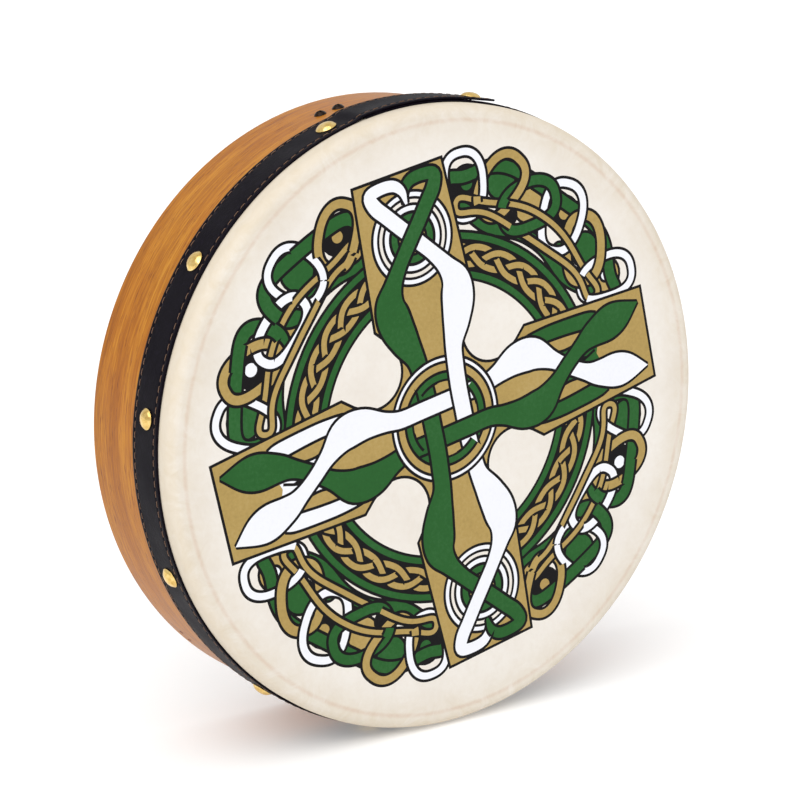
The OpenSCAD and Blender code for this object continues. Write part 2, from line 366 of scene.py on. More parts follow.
def tape_cloth():
    """Coarse plain-woven tape."""
    material, tree, shader = new_material("tape_cloth", Roughness=0.9, Sheen_Weight=0.2)
    inputs = {"Vector": place_vector(tree), "Scale": 420.0, "Distortion": 2.0, "Detail": 1.0}
    weave, crossing = (put(tree, "TexWave", inputs, bands_direction=way).outputs["Fac"]
                       for way in ("Y", "DIAGONAL"))
    threads = maths(tree, "MULTIPLY", weave, crossing)
    tone = ramp(tree, threads, [(0.1, (70, 62, 52)), (0.8, (128, 116, 98))])
    tree.links.new(tone, shader.inputs["Base Color"])
    bump(tree, threads, 0.5, 0.0002, shader)
    return material


def sewing_thread():
    """Twisted tan-brown thread."""
    material, tree, shader = new_material("thread", Roughness=0.62, Sheen_Weight=0.3)
    fibres = noise(tree, place_vector(tree), 2500.0, 3.0, 0.6)
    tone = ramp(tree, fibres, [(0.3, (84, 56, 36)), (0.55, (124, 86, 56)), (0.8, (154, 114, 78))])
    tree.links.new(tone, shader.inputs["Base Color"])
    bump(tree, fibres, 0.3, 0.0001, shader)
    return material


def metal(name, tones, roughness, scale, dents):
    """Worn metal: soft tarnish clouds, fine scratches and faint dents."""
    material, tree, shader = new_material(name, Metallic=1.0)
    place = place_vector(tree)
    cloud = noise(tree, place, scale, 4.0, 0.6)
    scratches = noise(tree, place, scale * 14, 2.0, 0.7, 2.0)
    tone = ramp(tree, cloud, list(zip((0.28, 0.5, 0.75), tones)))
    tree.links.new(tone, shader.inputs["Base Color"])
    polish = span(tree, scratches, 0.3, 0.75, roughness * 0.75, roughness * 1.5)
    tree.links.new(polish, shader.inputs["Roughness"])
    bump(tree, cloud, dents, 0.0006, shader)
    return material


BRASS = [(206, 166, 88), (232, 198, 122), (248, 224, 162)]
STEEL = [(30, 24, 21), (44, 35, 30), (66, 52, 42)]
COPPER = [(84, 40, 26), (118, 58, 38), (150, 84, 56)]
MATERIALS = {
    "hoop_wood": hoop_wood(),
    "bar_wood": bar_wood(),
    "goatskin": goatskin(),
    "leatherette": leatherette(),
    "tape_cloth": tape_cloth(),
    "thread": sewing_thread(),
    "tack_brass": metal("tack_brass", BRASS, 0.18, 300.0, 0.25),
    "screw_steel": metal("screw_steel", STEEL, 0.34, 500.0, 0.3),
    "pin_metal": metal("pin_metal", COPPER, 0.36, 700.0, 0.4),
}
INKS = {
    "black": ink("ink_black", (17, 15, 17), 0.55, 0.03),
    "green": ink("ink_green", (38, 89, 41), 0.55, 0.05),
    "gold": ink("ink_gold", (168, 142, 84), 0.55, 0.07),
    "white": ink("ink_white", (229, 230, 236), 0.52, 0.02),
}


def refinish(node, material):
    """Gives a CAD node that keeps its own shape a better material."""
    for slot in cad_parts[node].material_slots:
        slot.material = MATERIALS[material]


refinish("shell_hoop", "hoop_wood")
refinish("hand_bar", "bar_wood")
refinish("bar_screws", "screw_steel")
refinish("scarf_pins", "pin_metal")

# ---------- Painted design ----------
# The design is drawn flat, in units of the skin's radius, as shapes in painter's order.

ART_TURN = math.radians(12.9)
ART_CENTRE = np.array([-0.017, 0.017])
LINE = 0.0095
SPAN_STEPS = 8
shapes = []


def paint(contour, colour):
    """Adds one simple closed shape, on top of those before it."""
    contour = np.asarray(contour, float)[:, :2]
    x, y = contour.T
    if (x * np.roll(y, -1) - y * np.roll(x, -1)).sum() < 0:
        contour = contour[::-1]
    shapes.append((contour, colour))


def arc(centre, radius, start, stop, steps=32):
    """Points on a circle from one angle to another, in degrees."""
    angles = np.radians(np.linspace(start, stop, steps + 1))
    return np.column_stack([centre[0] + radius * np.cos(angles), centre[1] + radius * np.sin(angles)])


def disc(centre, radius, steps=48):
    return arc(centre, radius, 0, 360 * (1 - 1 / steps), steps - 1)


def grown(contour, amount):
    """A simple closed contour moved outwards by an amount, with its corners mitred."""
    contour = np.asarray(contour, float)[:, :2]
    x, y = contour.T
    turn = np.sign((x * np.roll(y, -1) - y * np.roll(x, -1)).sum())
    ahead = np.roll(contour, -1, axis=0) - contour
    ahead /= np.linalg.norm(ahead, axis=1)[:, None] + 1e-12
    outward = turn * np.column_stack([ahead[:, 1], -ahead[:, 0]])
    before = np.roll(outward, 1, axis=0)
    middle = outward + before
    scale = 2 / np.maximum((middle ** 2).sum(axis=1), 0.7)
    return contour + amount * middle * scale[:, None]


def outlined(contour, colour, line=LINE):
    """A coloured shape with a black line round it."""
    paint(grown(contour, line / 2), "black")
    paint(grown(contour, -line / 2), colour)


def curve(points, steps=6):
    """A smooth open curve through rows of (u, v, width)."""
    points = np.asarray(points, float)
    knots = np.vstack([2 * points[0] - points[1], points, 2 * points[-1] - points[-2]])
    t = (np.arange(steps) / steps)[:, None]
    rows = []
    for a, b, c, d in zip(knots, knots[1:], knots[2:], knots[3:]):
        rows.append(0.5 * (2 * b + (c - a) * t + (2 * a - 5 * b + 4 * c - d) * t ** 2
                           + (3 * b - a - 3 * c + d) * t ** 3))
    return np.vstack(rows + [points[-1:]])


def directions(path, closed):
    """Unit steps along a path, one at each of its points."""
    if closed:
        step = np.roll(path[:, :2], -1, axis=0) - np.roll(path[:, :2], 1, axis=0)
    else:
        step = np.gradient(path[:, :2], axis=0)
    return step / (np.linalg.norm(step, axis=1)[:, None] + 1e-12)


def rails(path, closed, extra):
    """The two sides of a ribbon whose path has rows of (u, v, width)."""
    heading = directions(path, closed)
    left = np.column_stack([-heading[:, 1], heading[:, 0]])
    half = (path[:, 2] / 2 + extra)[:, None]
    return path[:, :2] + left * half, path[:, :2] - left * half


def stretch(path, closed, indices, colour):
    """Paints part of a ribbon: its black border, then its colour."""
    for extra, tone in ((LINE / 2, "black"), (-LINE / 2, colour)):
        left, right = rails(path, closed, extra)
        paint(np.vstack([right[indices], left[indices][::-1]]), tone)


def ribbon(path, colour, closed=False):
    """Paints a whole ribbon, in short stretches so that none crosses itself."""
    count = len(path)
    total = count if closed else count - 1
    for extra, tone in ((LINE / 2, "black"), (-LINE / 2, colour)):
        left, right = rails(path, closed, extra)
        for start in range(0, total, SPAN_STEPS):
            indices = np.arange(start, min(start + SPAN_STEPS, total) + 1) % count
            paint(np.vstack([right[indices], left[indices][::-1]]), tone)


def segment_hits(first, second, same):
    """Where two closed polylines cross: rows of (position on first, position on second)."""
    p, r = first[:, None, :2], (np.roll(first, -1, axis=0) - first)[:, None, :2]
    q, s = second[None, :, :2], (np.roll(second, -1, axis=0) - second)[None, :, :2]
    cross = r[..., 0] * s[..., 1] - r[..., 1] * s[..., 0]
    cross = np.where(np.abs(cross) < 1e-12, 1e-12, cross)
    gap = q - p
    t = (gap[..., 0] * s[..., 1] - gap[..., 1] * s[..., 0]) / cross
    u = (gap[..., 0] * r[..., 1] - gap[..., 1] * r[..., 0]) / cross
    hit = (t >= 0) & (t < 1) & (u >= 0) & (u < 1)
    if same:
        i, j = np.indices(hit.shape)
        apart = (i - j) % len(first)
        hit &= (i < j) & (apart > 2) & (apart < len(first) - 2)
    rows, columns = np.nonzero(hit)
    return [(i + t[i, j], j + u[i, j]) for i, j in zip(rows, columns)]


def inside_count(point, loops):
    """How many closed polylines hold a point."""
    total = 0
    for loop in loops:
        x1, y1 = loop[:, 0], loop[:, 1]
        x2, y2 = np.roll(x1, -1), np.roll(y1, -1)
        spans = (y1 > point[1]) != (y2 > point[1])
        slope = np.where(spans, (x2 - x1) / np.where(y2 == y1, 1, y2 - y1), 0)
        total += np.count_nonzero(spans & (point[0] < slope * (point[1] - y1) + x1))
    return total


# How far beside a crossing its parity is read, the flattest crossing allowed for, and the least
# share of the wanted length that a lay-over must have to be painted
BESIDE = 0.003
LEAST_SLANT = 0.35
LEAST_LAY_OVER = 0.4


def interlace(loops):
    """Paints closed ribbons, given as (path, colour), that pass over and under each other by turns."""
    for path, colour in loops:
        ribbon(path, colour, closed=True)
    paths = [path for path, colour in loops]
    passes = [[] for path in paths]
    for a, first in enumerate(paths):
        for b in range(a, len(paths)):
            for at_first, at_second in segment_hits(first, paths[b], a == b):
                passes[a].append((at_first, b, at_second))
                passes[b].append((at_second, a, at_first))
    for (path, colour), own in zip(loops, passes):
        own.sort()
        heading = directions(path, True)
        lengths = np.linalg.norm(np.roll(path, -1, axis=0)[:, :2] - path[:, :2], axis=1)
        for place, (position, other, other_position) in enumerate(own):
            index = int(position) % len(path)
            ahead = heading[index]
            side = np.array([-ahead[1], ahead[0]])
            crossing = path[index, :2] + (position - index) * lengths[index] * ahead
            if inside_count(crossing + BESIDE * (side - ahead), paths) % 2 == 0:
                continue
            other_index = int(other_position) % len(paths[other])
            other_ahead = directions(paths[other], True)[other_index]
            slant = abs(ahead[0] * other_ahead[1] - ahead[1] * other_ahead[0])
            slant = max(slant, LEAST_SLANT)
            reach = (paths[other][other_index, 2] / 2 + LINE) / slant
            wanted = max(1, math.ceil(reach / lengths.mean()))
            count = len(path)
            gaps = [(own[(place + 1) % len(own)][0] - position) % count,
                    (position - own[place - 1][0]) % count]
            steps = int(min([wanted] + [gap / 2 for gap in gaps]))
            if steps < LEAST_LAY_OVER * wanted:
                continue
            indices = np.arange(index - steps, index + steps + 2) % count
            stretch(path, True, indices, colour)


def ring(radius, width, colour, centre=(0, 0)):
    """A plain ring with a black line on both sides."""
    paint(disc(centre, radius + width / 2 + LINE / 2, 96), "black")
    paint(disc(centre, radius + width / 2 - LINE / 2, 96), colour)
    paint(disc(centre, radius - width / 2 + LINE / 2, 96), "black")


# Below 1 the ovals of the knotwork are fuller than an ellipse
OVAL_POWER = 0.8


def mirrored(path, u_sign, v_sign, shift=0.0):
    return np.column_stack([u_sign * path[:, 0] + shift, v_sign * path[:, 1], path[:, 2]])


def bent_loop(quadrant, angle, radius, half_along, half_out, tilt, width, colour, waves=0, sway=0.0):
    """A closed oval ribbon outside the ring, bent round the centre; waves make it undulate."""
    turn = np.linspace(0, math.tau, 96 + 24 * waves, endpoint=False)
    along = half_along * np.sign(np.cos(turn)) * np.abs(np.cos(turn)) ** OVAL_POWER
    out = half_out * np.sign(np.sin(turn)) * np.abs(np.sin(turn)) ** OVAL_POWER
    out = out + sway * np.sin(waves * turn)
    lean = math.radians(tilt)
    bearing = along * math.cos(lean) - out * math.sin(lean)
    reach = radius + (along * math.sin(lean) + out * math.cos(lean))
    bearing = math.radians(90 * quadrant + angle) + bearing / radius
    path = np.column_stack([reach * np.cos(bearing), reach * np.sin(bearing), np.full(len(turn), width)])
    return path, colour


def spot(quadrant, angle, radius, size, colour):
    """A small filled round between the ribbons."""
    bearing = math.radians(90 * quadrant + angle)
    outlined(disc((radius * math.cos(bearing), radius * math.sin(bearing)), size, 24), colour)


LONG_KNOT = (
    (45, 0.712, 0.400, 0.092, 0, 0.046, "green", 7, 0.012),
    (18.5, 0.742, 0.066, 0.108, 18, 0.032, "white"),
    (29, 0.728, 0.108, 0.070, 40, 0.040, "gold"),
    (40, 0.748, 0.078, 0.110, -22, 0.034, "white"),
    (51, 0.722, 0.108, 0.070, -42, 0.040, "green"),
    (61, 0.748, 0.072, 0.106, 24, 0.036, "gold"),
    (71.5, 0.735, 0.070, 0.104, -15, 0.032, "white"),
    (45, 0.672, 0.340, 0.032, 0, 0.026, "gold", 5, 0.010),
)
TWIN_KNOT = (
    (29, 0.712, 0.190, 0.086, 10, 0.048, "green", 3, 0.014),
    (20, 0.728, 0.100, 0.066, -44, 0.036, "gold"),
    (34, 0.742, 0.074, 0.100, -10, 0.032, "white"),
    (62, 0.712, 0.180, 0.084, -10, 0.048, "green", 3, 0.014),
    (71, 0.728, 0.070, 0.106, 16, 0.032, "white"),
    (58, 0.738, 0.106, 0.064, 44, 0.038, "gold"),
    (46.5, 0.692, 0.110, 0.060, 8, 0.036, "white"),
    (45, 0.660, 0.330, 0.030, 0, 0.026, "gold", 5, 0.010),
)
KNOT_SPOTS = (
    ((19, 0.745, 0.058, "gold"), (29, 0.730, 0.056, "green"), (40, 0.760, 0.060, "black"),
     (51, 0.722, 0.058, "gold"), (61, 0.760, 0.056, "green"), (71, 0.740, 0.058, "black"),
     (19, 0.745, 0.022, "white"), (40, 0.765, 0.026, "gold"), (71, 0.740, 0.026, "green"),
     (35, 0.660, 0.030, "green"), (56, 0.665, 0.032, "black"), (24, 0.655, 0.026, "black")),
    ((20, 0.730, 0.056, "black"), (33, 0.750, 0.060, "green"), (46, 0.700, 0.056, "gold"),
     (58, 0.745, 0.056, "black"), (70, 0.735, 0.060, "green"), (20, 0.730, 0.024, "gold"),
     (58, 0.745, 0.026, "white"), (26, 0.660, 0.030, "green"), (64, 0.665, 0.030, "black"),
     (46, 0.700, 0.022, "green")))


def quadrant_wreath():
    """The dense knotwork outside the ring, in two alternating patterns."""
    for quadrant in range(4):
        knots = (LONG_KNOT, TWIN_KNOT)[quadrant % 2]
        for place in KNOT_SPOTS[quadrant % 2]:
            spot(quadrant, *place)
        interlace([bent_loop(quadrant, *knot) for knot in knots])


PLAIT_WAVES = 11


def plaited_ring():
    """The ring through the arms: a three-strand gold plait on black between green edges."""
    ring(0.578, 0.029, "green")
    ring(0.459, 0.029, "green")
    turn = np.linspace(0, math.tau, 48 * PLAIT_WAVES, endpoint=False)
    strands = []
    for k in range(3):
        wave = PLAIT_WAVES * turn + math.tau * k / 3
        radius = 0.519 + 0.033 * np.sin(wave) * (1 + 0.12 * np.cos(2 * wave))
        width = np.full(len(turn), 0.029)
        path = np.column_stack([radius * np.cos(turn), radius * np.sin(turn), width])
        strands.append((path, "gold"))
    interlace(strands)


def inner_disc():
    """Bare skin inside the ring, between its green edge and the boss."""
    paint(disc((0, 0), 0.4406, 128), "skin")


def cross():
    """The gold cross with rounded armpits."""
    quarter = np.vstack([
        [(0.168, 0.808), (0.19, 0.355), (0.155, 0.315)],
        arc((0.229, 0.229), 0.11, 130.7, 319.3, 24)[1:-1],
        [(0.315, 0.155), (0.355, 0.19), (0.835, 0.159)],
    ])
    outline = []
    for u_sign, v_sign in ((1, 1), (1, -1), (-1, -1), (-1, 1)):
        corner = quarter * (u_sign, v_sign)
        outline.append(corner if u_sign * v_sign > 0 else corner[::-1])
    outlined(np.vstack(outline), "gold")


def roundels():
    for side in (1, -1):
        centre = (0.009, side * 0.597)
        ring(0.136, 0.022, "white", centre)
        paint(disc(centre, 0.121, 64), "skin")
        ring(0.094, 0.024, "white", centre)
        ring(0.066, 0.030, "green", centre)
        paint(disc(centre, 0.047, 48), "gold")


def open_hits(first, second):
    """Where two open ribbons cross."""
    return sorted(hit for hit in segment_hits(first, second, False)
                  if hit[0] < len(first) - 1 and hit[1] < len(second) - 1)


def lay_over(path, at, other_width, colour):
    """Repaints a short stretch of an open ribbon, so that it passes over another."""
    step = np.linalg.norm(path[int(at) + 1, :2] - path[int(at), :2])
    steps = max(2, math.ceil(1.2 * (other_width / 2 + LINE) / step))
    low, high = max(0, int(at) - steps), min(len(path) - 1, int(at) + 1 + steps)
    stretch(path, False, np.arange(low, high + 1), colour)


def cross_over(over, under, colour):
    for at_over, at_under in open_hits(over, under):
        lay_over(over, at_over, under[int(at_under), 2], colour)


def weave_pair(first, second, first_colour, second_colour, first_over):
    """Two open ribbons that pass over each other by turns along the first."""
    ribbon(first, first_colour)
    ribbon(second, second_colour)
    for k, (at_first, at_second) in enumerate(open_hits(first, second)):
        if (k % 2 == 0) == first_over:
            lay_over(first, at_first, second[int(at_second), 2], first_colour)
        else:
            lay_over(second, at_second, first[int(at_first), 2], second_colour)


def arm_ribbons():
    """Green and white ribbons that run the length of both arms and cross near every end."""
    half = np.array([
        (-0.052, 0.000, 0.066), (-0.052, 0.080, 0.066), (-0.056, 0.150, 0.066), (-0.064, 0.220, 0.070),
        (-0.090, 0.290, 0.104), (-0.112, 0.360, 0.124), (-0.116, 0.420, 0.110), (-0.092, 0.474, 0.070),
        (-0.054, 0.528, 0.056), (-0.008, 0.582, 0.056), (0.040, 0.636, 0.056), (0.086, 0.690, 0.056),
        (0.118, 0.728, 0.056), (0.130, 0.766, 0.050), (0.092, 0.778, 0.046), (0.042, 0.774, 0.044),
        (0.014, 0.748, 0.036), (0.006, 0.706, 0.018)])
    whole = np.vstack([mirrored(half[:0:-1], 1, -1), half])
    green = curve(whole)
    white = curve(mirrored(whole, -1, 1, 0.018))
    side_half = np.array([
        (0.000, 0.056, 0.062), (0.080, 0.056, 0.062), (0.160, 0.056, 0.062), (0.220, 0.070, 0.070),
        (0.300, 0.092, 0.108), (0.370, 0.086, 0.112), (0.440, 0.040, 0.066), (0.500, -0.006, 0.056),
        (0.560, -0.044, 0.062), (0.610, -0.066, 0.090), (0.680, -0.082, 0.120), (0.740, -0.094, 0.098),
        (0.815, -0.112, 0.008)])
    side_whole = np.vstack([mirrored(side_half[:0:-1], -1, 1), side_half])
    side_white = curve(side_whole)
    side_green = curve(mirrored(side_whole, 1, -1))
    for u_sign, colour in ((1, "green"), (-1, "white")):
        for v_sign in (1, -1):
            hook = curve([(u_sign * u, v_sign * v, w) for u, v, w in (
                (0.620, 0.010, 0.050), (0.560, 0.030, 0.052), (0.480, 0.030, 0.050), (0.410, 0.050, 0.052),
                (0.350, 0.092, 0.052), (0.350, 0.122, 0.050), (0.420, 0.130, 0.052), (0.500, 0.128, 0.054),
                (0.600, 0.120, 0.056), (0.640, 0.116, 0.040))])
            ribbon(hook, colour)
    weave_pair(side_white, side_green, "white", "green", True)
    weave_pair(green, white, "green", "white", True)
    cross_over(side_white, green, "white")
    cross_over(white, side_white, "white")
    cross_over(side_green, white, "green")
    cross_over(green, side_green, "green")


def ring_arc(radius, width, colour, start, stop):
    """Part of a ring, over what crosses it."""
    for extra, tone in ((LINE / 2, "black"), (-LINE / 2, colour)):
        half = width / 2 + extra
        paint(np.vstack([arc((0, 0), radius + half, start, stop, 12),
                         arc((0, 0), radius - half, stop, start, 12)]), tone)


# Radius, width and colour of the rings in the woven centre
BOSS_RINGS = ((0.190, 0.023, "white"), (0.166, 0.034, "gold"), (0.138, 0.028, "green"))


def boss():
    """The woven centre's three rings on gold."""
    for radius, width, colour in BOSS_RINGS:
        ring(radius, width, colour)
    paint(disc((0, 0), 0.121, 96), "gold")


# Where the rings cross over a ribbon, and half the length of each bridge, in degrees
BRIDGE_BEARINGS = (108.5, 18.5, 198.5, 294)
BRIDGE_HALF = 16


def boss_bridges():
    """The rings pass over one ribbon on each side of the centre."""
    for middle in BRIDGE_BEARINGS:
        for radius, width, colour in BOSS_RINGS:
            ring_arc(radius, width, colour, middle - BRIDGE_HALF, middle + BRIDGE_HALF)


def draw_design():
    quadrant_wreath()
    plaited_ring()
    inner_disc()
    cross()
    roundels()
    boss()
    arm_ribbons()
    boss_bridges()


# ---------- Drumhead ----------

RIM_STEPS = 384


def head_face():
    """The flat face, cut along the painted shapes: 2D points, triangles and each one's colour."""
    draw_design()
    face_r = SKIN_R - BEARING_R
    turn = np.array([[math.cos(ART_TURN), math.sin(ART_TURN)],
                     [-math.sin(ART_TURN), math.cos(ART_TURN)]])
    points = [Vector((face_r * math.cos(a), face_r * math.sin(a)))
              for a in np.linspace(0, math.tau, RIM_STEPS, endpoint=False)]
    polygons = [list(range(RIM_STEPS))]
    colours = ["skin"]
    for contour, colour in shapes:
        placed = (contour @ turn + ART_CENTRE) * SKIN_R
        polygons.append(list(range(len(points), len(points) + len(placed))))
        points.extend(Vector(p) for p in placed)
        colours.append(colour)
    edges = [(polygon[i - 1], polygon[i]) for polygon in polygons for i in range(len(polygon))]
    corners, _, triangles = delaunay_2d_cdt(points, edges, [], 0, 1e-7, False)[:3]
    middles = np.array([sum((corners[i] for i in t), Vector((0, 0))) / 3 for t in triangles])
    order = np.zeros(len(triangles), int)
    for index, polygon in enumerate(polygons[1:], 1):
        contour = np.array([points[i] for i in polygon])
        low, high = contour.min(axis=0), contour.max(axis=0)
        near = np.flatnonzero(((middles >= low) & (middles <= high)).all(axis=1))
        if len(near):
            order[near[winds_round(middles[near], contour)]] = index
    return corners, triangles, [colours[i] for i in order]


def winds_round(spots, contour):
    """Which spots a closed contour winds round, however it may cross itself."""
    ahead = np.roll(contour, -1, axis=0)
    side = ((ahead[:, 0] - contour[:, 0]) * (spots[:, None, 1] - contour[:, 1])
            - (spots[:, None, 0] - contour[:, 0]) * (ahead[:, 1] - contour[:, 1]))
    below, above = contour[:, 1] <= spots[:, None, 1], ahead[:, 1] > spots[:, None, 1]
    climbs = below & above & (side > 0)
    falls = ~below & ~above & (side < 0)
    return climbs.sum(axis=1) != falls.sum(axis=1)


def build_skin():
    """One closed skin: the painted face, the bend over the bearing edge, the skirt and its inner side."""
    corners, triangles, colours = head_face()
    names = ["skin"] + list(INKS)
    verts = [(c.x, HEAD_Y, CENTRE_Z + c.y) for c in corners]
    faces = [tuple(t) for t in triangles]
    slots = [names.index(colour) for colour in colours]
    bend = [(SKIN_R - BEARING_R + BEARING_R * math.sin(a), HEAD_Y + BEARING_R * (1 - math.cos(a)))
            for a in np.radians(np.linspace(0, 90, 9))]
    outside = bend + [(SKIN_R, y) for y in np.linspace(HEAD_Y + BEARING_R, SKIRT_END_Y, 6)[1:]]
    inner_r, inner_y = SKIN_R - SKIN_T * 0.98, HEAD_Y + SKIN_T
    inner_bend = BEARING_R - SKIN_T
    back_bend = [(inner_r - inner_bend * (1 - math.cos(a)), inner_y + inner_bend * (1 - math.sin(a)))
                 for a in np.radians(np.linspace(0, 90, 7))]
    rings = outside + [(inner_r, SKIRT_END_Y)] + back_bend
    rings += [(rings[-1][0] * share, inner_y) for share in (0.66, 0.33)]
    start = len(verts)
    for radius, y in rings:
        verts.extend(around(a, radius, y)
                     for a in np.linspace(0, math.tau, RIM_STEPS, endpoint=False))
    faces += tube_faces(len(rings), RIM_STEPS, start, closed_ends=False)
    centre = len(verts)
    verts.append((0, inner_y, CENTRE_Z))
    inner = centre - RIM_STEPS
    faces.extend((inner + j, inner + (j + 1) % RIM_STEPS, centre) for j in range(RIM_STEPS))
    slots += [0] * (len(faces) - len(slots))
    skin = mesh_object("goatskin_head", verts, faces, [MATERIALS["goatskin"]] + list(INKS.values()), slots)
    weld(skin)
    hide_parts("drumhead_skin")


def weld(piece, distance=1e-6):
    """Joins coincident vertices and makes the faces look outwards."""
    made = bmesh.new()
    made.from_mesh(piece.data)
    bmesh.ops.remove_doubles(made, verts=made.verts, dist=distance)
    bmesh.ops.recalc_face_normals(made, faces=made.faces)
    made.to_mesh(piece.data)
    made.free()


# ---------- Trim strip ----------

STITCH_PITCH = math.radians(1.81)
STATIONS_PER_STITCH = 8
STITCH_SHARE = 0.75
STRIP_TURN = math.tau + LAP_START - LAP_END
STRIP_STATIONS = round(STRIP_TURN / STITCH_PITCH) * STATIONS_PER_STITCH
HEM_W = 0.007
HEM_T = 0.0004
TACKS = tack_places()


def strip_angle(station):
    """The strip starts under its lap and runs clockwise, seen from the front."""
    return LAP_START - STRIP_TURN * station / STRIP_STATIONS


def strip_lift(angle):
    """How far the strip stands off its seat on the skin at an angle of its run."""
    climb_from = LAP_START - math.tau + CLIMB
    share = min(max((climb_from - angle) / CLIMB, 0), 1)
    to_end = (angle - (LAP_START - STRIP_TURN)) / math.radians(5)
    curl = 0.0009 * max(0, 1 - to_end) ** 2
    return LAP_RISE * share * share * (3 - 2 * share) + curl


def sweep_strip(profile):
    """Sweeps a closed profile of (offset from the trim's front edge, height above the skin)."""
    verts = []
    for station in range(STRIP_STATIONS + 1):
        angle = strip_angle(station)
        lift = strip_lift(angle)
        for offset, height in profile(station, angle):
            verts.append(around(angle, SKIN_R + lift + height, TRIM_FRONT_Y + offset))
    sides = len(profile(0, strip_angle(0)))
    return verts, tube_faces(STRIP_STATIONS + 1, sides)


def sunk(offset, station, angle):
    """How far the cover's face is pressed in, by its stitches and by the tacks."""
    depth = 0.0
    for row in ROW_OFFSETS:
        across = math.exp(-((offset - row) / 0.0006) ** 2)
        phase = (station / STATIONS_PER_STITCH) % 1
        hole = min(abs(phase - 0.0), abs(phase - 1.0), abs(phase - STITCH_SHARE)) < 0.06
        depth += across * (0.00034 if hole else 0.00022)
    for tack_angle, _ in TACKS:
        apart = (angle - tack_angle + math.pi) % math.tau - math.pi
        away = math.hypot(apart * TRIM_R, TRIM_FRONT_Y + offset - TACK_Y)
        depth += 0.0003 * math.exp(-(away / (1.25 * TACK_R)) ** 4)
    return depth


def cover_profile(station, angle):
    """A folded C: the sheet's outer face, its rounded edges and the two hems turned under."""
    edge, face_drop, crown = 0.0008, 0.0001, 0.00012
    top = []
    offsets = [0.0016, 0.0024, 0.0029, ROW_OFFSETS[0], 0.0039, 0.0044, 0.0056, 0.0085, 0.0127]
    offsets += [TRIM_W - o for o in reversed(offsets[:-1])]
    for offset in offsets:
        middle = math.sin(math.pi * offset / TRIM_W) ** 0.5
        top.append((offset, TRIM_T - sunk(offset, station, angle) + crown * middle - face_drop))
    corner = [(edge * (1 - math.cos(a)), TRIM_T - edge * (1 - math.sin(a)) - face_drop)
              for a in np.radians((0, 25, 50, 75))]
    lower = [(0.0003, 0.0001), (0.0, 0.0005)]
    front = [(HEM_W, 0.0)] + lower + corner
    back = [(TRIM_W - o, h) for o, h in reversed(front)]
    roof = TRIM_T - SHEET_T
    inner = [(TRIM_W - HEM_W, HEM_T), (TRIM_W - TAPE_EDGE, HEM_T), (TRIM_W - TAPE_EDGE, roof),
             (TAPE_EDGE, roof), (TAPE_EDGE, HEM_T), (HEM_W, HEM_T)]
    return front + top + back + inner


def build_cover():
    """The hemmed leatherette strip, once round the skin and over its own start."""
    verts, faces = sweep_strip(cover_profile)
    cover = mesh_object("leatherette_trim", verts, faces, [MATERIALS["leatherette"]])
    weld(cover, 1e-7)
    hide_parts("trim_cover")


def tape_profile(station, angle):
    """The flat tape, with a hair of air to the cover all round."""
    low, high = HEM_T + 0.00002, TRIM_T - SHEET_T - 0.00002
    edge = TAPE_EDGE + 0.00005
    return [(edge, low), (edge, high), (TRIM_W - edge, high), (TRIM_W - edge, low)]


def build_tape():
    """The cloth tape inside the hemmed cover."""
    verts, faces = sweep_strip(tape_profile)
    tape = mesh_object("backing_tape", verts, faces, [MATERIALS["tape_cloth"]], smooth=False)
    weld(tape, 1e-7)
    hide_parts("trim_backing_tape")


def build_stitches(name, row, node):
    """One row of short stitches, each of two twisted strands that dive into the cover."""
    verts, faces = [], []
    strand_r, wind_r, turns = 0.00013, 0.00013, 2.5
    rings, sides = 15, 6
    stitches = STRIP_STATIONS // STATIONS_PER_STITCH
    for k in range(stitches):
        start = strip_angle(k * STATIONS_PER_STITCH)
        if start > LAP_END - math.radians(2) and k < stitches / 2:
            continue
        length = STITCH_PITCH * STITCH_SHARE
        for strand in (0, math.pi):
            base = len(verts)
            for i in range(rings):
                t = i / (rings - 1)
                angle = start - length * t
                arch = -0.0009 + 0.00095 * min(1, 6 * t, 6 * (1 - t)) ** 0.7
                twist = strand + math.tau * turns * t
                height = SKIN_R + strip_lift(angle) + TRIM_T + arch + wind_r * math.sin(twist)
                y = TRIM_FRONT_Y + row + wind_r * math.cos(twist)
                for j in range(sides):
                    side = math.tau * j / sides
                    verts.append(around(angle, height + strand_r * math.sin(side),
                                        y + strand_r * math.cos(side)))
            faces += tube_faces(rings, sides, base)
    stitches_piece = mesh_object(name, verts, faces, [MATERIALS["thread"]])
    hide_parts(node)


# ---------- Tacks ----------

def build_tacks():
    """Domed tacks, each a little off true, with a rolled rim, a hollow underside and a nail."""
    maker = random.Random(7)
    steps = 48
    height = 0.003
    dome = [(0.0011, height * 0.985), (0.0022, height * 0.93), (0.0033, height * 0.83),
            (0.0043, height * 0.69), (0.0051, height * 0.51), (0.00575, height * 0.32),
            (TACK_R - 0.00035, height * 0.17), (TACK_R, 0.00035), (TACK_R - 0.0001, 0.0001),
            (TACK_R - 0.0005, 0.0), (TACK_R - 0.0009, 0.0003), (0.0045, 0.0014), (0.0008, 0.0021),
            (0.0008, -0.009), (0.0001, -0.011)]
    verts, faces = [], []
    for angle, top in TACKS:
        seat = top - height
        tilt = Vector((maker.uniform(-0.05, 0.05), maker.uniform(-0.05, 0.05)))
        right = Vector((-math.sin(angle), 0, math.cos(angle)))
        back = Vector((0, 1, 0))
        base = len(verts)
        for radius, level in dome:
            for j in range(steps):
                turn = math.tau * j / steps
                a, b = radius * math.cos(turn), radius * math.sin(turn)
                rise = level + (a * tilt.x + b * tilt.y if level > -0.0005 else 0) * 0.6
                verts.append(Vector(around(angle, seat + rise, TACK_Y)) + right * a + back * b)
        faces += tube_faces(len(dome), steps, base)
    tacks = mesh_object("brass_tacks", verts, faces, [MATERIALS["tack_brass"]])
    weld(tacks, 1e-7)
    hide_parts("dome_tacks")


# ---------- Studio ----------

FLOOR_HALF = 12.0


